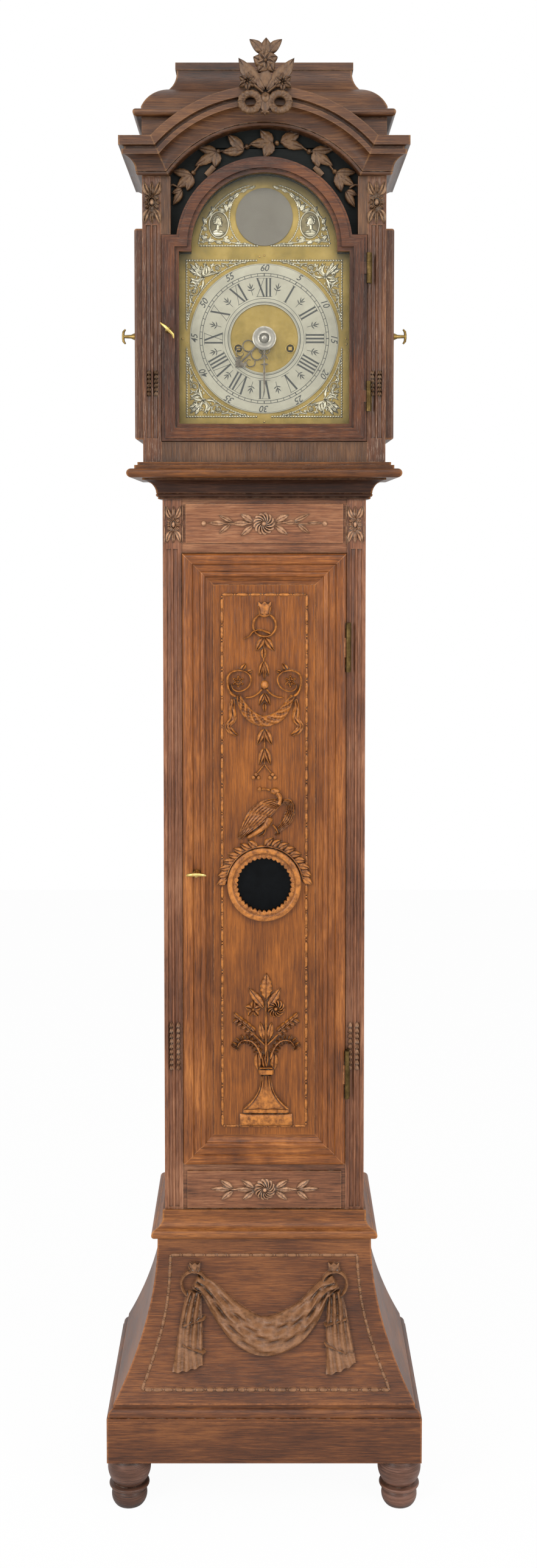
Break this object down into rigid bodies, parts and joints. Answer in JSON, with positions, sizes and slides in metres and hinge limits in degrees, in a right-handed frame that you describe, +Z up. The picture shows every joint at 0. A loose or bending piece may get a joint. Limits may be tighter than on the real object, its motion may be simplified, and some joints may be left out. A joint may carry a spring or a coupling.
{
  "type": "longcase clock",
  "caption": "Tall oak pendulum clock with an arched dial, a sliding hood with doors, a panelled trunk door and a flared base on bun feet.",
  "frame": {"origin": "on the floor, in the middle of the clock's width and depth", "axes": "+Z up, +X to the right seen from the front, the dial looks along -Y, the flat back is at +Y"},
  "size_m": [0.5381, 0.3261, 2.4693],
  "materials": {
    "dark_oak": "waxed dark oak",
    "plain_oak": "plain oak",
    "black_board": "black paint",
    "aged_brass": "aged brass",
    "silvered_brass": "silvered brass",
    "bell_metal": "bell metal",
    "blued_steel": "blackened steel",
    "steel": "dull steel",
    "glass": "clear glass",
    "gut": "gut line"
  },
  "bodies": {
    "case": {"bun_feet": "dark_oak", "plinth_frame": "dark_oak", "plinth_moulding": "dark_oak", "base_boards": "dark_oak", "backboard": "plain_oak", "waist_moulding": "dark_oak", "trunk_stiles": "dark_oak", "trunk_rails": "dark_oak", "trunk_sides": "dark_oak", "trunk_cove": "dark_oak", "seat_board": "plain_oak", "trunk_hinge_leaves": "aged_brass", "dial_plate": "aged_brass", "chapter_ring": "silvered_brass", "arch_boss": "silvered_brass", "dial_spandrels": "silvered_brass", "movement_frame": "aged_brass", "bell": "bell_metal", "going_line": "gut", "strike_line": "gut"},
    "hood": {"hood_base_moulding": "dark_oak", "hood_pilasters": "dark_oak", "hood_sides": "dark_oak", "hood_front_frame": "dark_oak", "dial_mask": "black_board", "hood_fret": "dark_oak", "hood_cornice": "dark_oak", "attic": "dark_oak", "caddy_top": "dark_oak", "crest_carving": "dark_oak", "hood_hinge_leaves": "aged_brass"},
    "hood_door": {"hood_door_frame": "dark_oak", "hood_door_glass": "glass"},
    "hood_door_handle": {"hood_door_handle": "aged_brass"},
    "side_door_right": {"side_door_frame_right": "dark_oak", "side_door_glass_right": "glass"},
    "side_door_handle_right": {"side_door_handle_right": "aged_brass"},
    "side_door_left": {"side_door_frame_left": "dark_oak", "side_door_glass_left": "glass"},
    "side_door_handle_left": {"side_door_handle_left": "aged_brass"},
    "trunk_door": {"trunk_door_frame": "dark_oak", "trunk_door_panel": "dark_oak", "lenticle_ring": "dark_oak", "lenticle_glass": "glass"},
    "trunk_door_handle": {"trunk_door_handle": "aged_brass"},
    "minute_arbor": {"minute_hand": "blued_steel", "centre_wheel": "aged_brass"},
    "hour_pipe": {"hour_hand": "blued_steel"},
    "third_arbor": {"third_wheel": "aged_brass"},
    "escape_arbor": {"escape_wheel": "aged_brass"},
    "anchor": {"anchor": "steel"},
    "pendulum": {"pendulum_rod": "steel", "pendulum_bob": "aged_brass"},
    "going_barrel": {"going_barrel": "aged_brass"},
    "strike_barrel": {"strike_barrel": "aged_brass"},
    "going_weight": {"going_weight": "aged_brass"},
    "strike_weight": {"strike_weight": "aged_brass"},
    "going_pulley": {"going_pulley": "aged_brass"},
    "strike_pulley": {"strike_pulley": "aged_brass"},
    "hammer": {"hammer": "steel"}
  },
  "joints": [
    {"name": "hood_slide", "type": "slide", "parent": "case", "child": "hood", "axis": [0, -1, 0], "range_m": [0, 0.3]},
    {"name": "hood_door_swing", "type": "hinge", "parent": "hood", "child": "hood_door", "pos_m": [0.174, -0.108, 2], "axis": [0, 0, 1], "range_deg": [0, 110]},
    {"name": "hood_door_turn", "type": "hinge", "parent": "hood_door", "child": "hood_door_handle", "pos_m": [-0.16, -0.117, 2.002], "axis": [0, 1, 0], "range_deg": [0, 90]},
    {"name": "side_door_right_swing", "type": "hinge", "parent": "hood", "child": "side_door_right", "pos_m": [0.2163, 0.116, 2], "axis": [0, 0, 1], "range_deg": [0, 100]},
    {"name": "side_door_right_turn", "type": "hinge", "parent": "side_door_right", "child": "side_door_handle_right", "pos_m": [0.225, -0.067, 1.9963], "axis": [1, 0, 0], "range_deg": [0, 90]},
    {"name": "side_door_left_swing", "type": "hinge", "parent": "hood", "child": "side_door_left", "pos_m": [-0.2163, 0.116, 2], "axis": [0, 0, -1], "range_deg": [0, 100]},
    {"name": "side_door_left_turn", "type": "hinge", "parent": "side_door_left", "child": "side_door_handle_left", "pos_m": [-0.225, -0.067, 1.9963], "axis": [-1, 0, 0], "range_deg": [0, 90]},
    {"name": "trunk_door_swing", "type": "hinge", "parent": "case", "child": "trunk_door", "pos_m": [0.143, -0.077, 1.1], "axis": [0, 0, 1], "range_deg": [0, 110]},
    {"name": "trunk_door_turn", "type": "hinge", "parent": "trunk_door", "child": "trunk_door_handle", "pos_m": [-0.116, -0.087, 1.082], "axis": [0, 1, 0], "range_deg": [0, 90]},
    {"name": "minute_turn", "type": "hinge", "parent": "case", "child": "minute_arbor", "pos_m": [0, -0.017, 1.994], "axis": [0, 1, 0], "continuous": true},
    {"name": "hour_turn", "type": "hinge", "parent": "case", "child": "hour_pipe", "pos_m": [0, -0.037, 1.994], "axis": [0, 1, 0], "continuous": true},
    {"name": "third_turn", "type": "hinge", "parent": "case", "child": "third_arbor", "pos_m": [0.02276, 0.013, 2.01483], "axis": [0, 1, 0], "continuous": true},
    {"name": "escape_turn", "type": "hinge", "parent": "case", "child": "escape_arbor", "pos_m": [0, 0.013, 2.026], "axis": [0, 1, 0], "continuous": true},
    {"name": "pendulum_swing", "type": "hinge", "parent": "case", "child": "pendulum", "pos_m": [0, 0.093, 2.057], "axis": [0, 1, 0], "range_deg": [-2.5, 2.5]},
    {"name": "anchor_rock", "type": "hinge", "parent": "case", "child": "anchor", "pos_m": [0, 0.023, 2.057], "axis": [0, 1, 0], "range_deg": [-2.5, 2.5]},
    {"name": "going_wind", "type": "slide", "parent": "case", "child": "going_weight", "axis": [0, 0, 1], "range_m": [0, 1.15], "deforming": ["going_line"]},
    {"name": "going_barrel_turn", "type": "hinge", "parent": "case", "child": "going_barrel", "pos_m": [0.044, 0.013, 1.9775], "axis": [0, -1, 0], "range_deg": [0, 5300]},
    {"name": "going_pulley_turn", "type": "hinge", "parent": "going_weight", "child": "going_pulley", "pos_m": [0.046, 0.02, 0.605], "axis": [0, -1, 0], "range_deg": [0, 2900]},
    {"name": "strike_wind", "type": "slide", "parent": "case", "child": "strike_weight", "axis": [0, 0, 1], "range_m": [0, 1.15], "deforming": ["strike_line"]},
    {"name": "strike_barrel_turn", "type": "hinge", "parent": "case", "child": "strike_barrel", "pos_m": [-0.044, 0.013, 1.9775], "axis": [0, 1, 0], "range_deg": [0, 5300]},
    {"name": "strike_pulley_turn", "type": "hinge", "parent": "strike_weight", "child": "strike_pulley", "pos_m": [-0.046, 0.02, 0.605], "axis": [0, 1, 0], "range_deg": [0, 2900]},
    {"name": "hammer_lift", "type": "hinge", "parent": "case", "child": "hammer", "pos_m": [-0.045, 0.013, 2.05], "axis": [0, -1, 0], "range_deg": [0, 12], "stiffness_Nm_per_rad": 0.05, "springref_deg": -17.19}
  ],
  "couplings": [
    {"joint": "minute_turn", "follows": "third_turn", "ratio": -0.13333},
    {"joint": "hour_turn", "follows": "third_turn", "ratio": -0.011111},
    {"joint": "escape_turn", "follows": "third_turn", "ratio": -8},
    {"joint": "anchor_rock", "follows": "pendulum_swing", "ratio": 1},
    {"joint": "going_barrel_turn", "follows": "going_wind", "rad_per_m": 79.681},
    {"joint": "going_pulley_turn", "follows": "going_wind", "rad_per_m": 43.29},
    {"joint": "strike_barrel_turn", "follows": "strike_wind", "rad_per_m": 79.681},
    {"joint": "strike_pulley_turn", "follows": "strike_wind", "rad_per_m": 43.29}
  ]
}
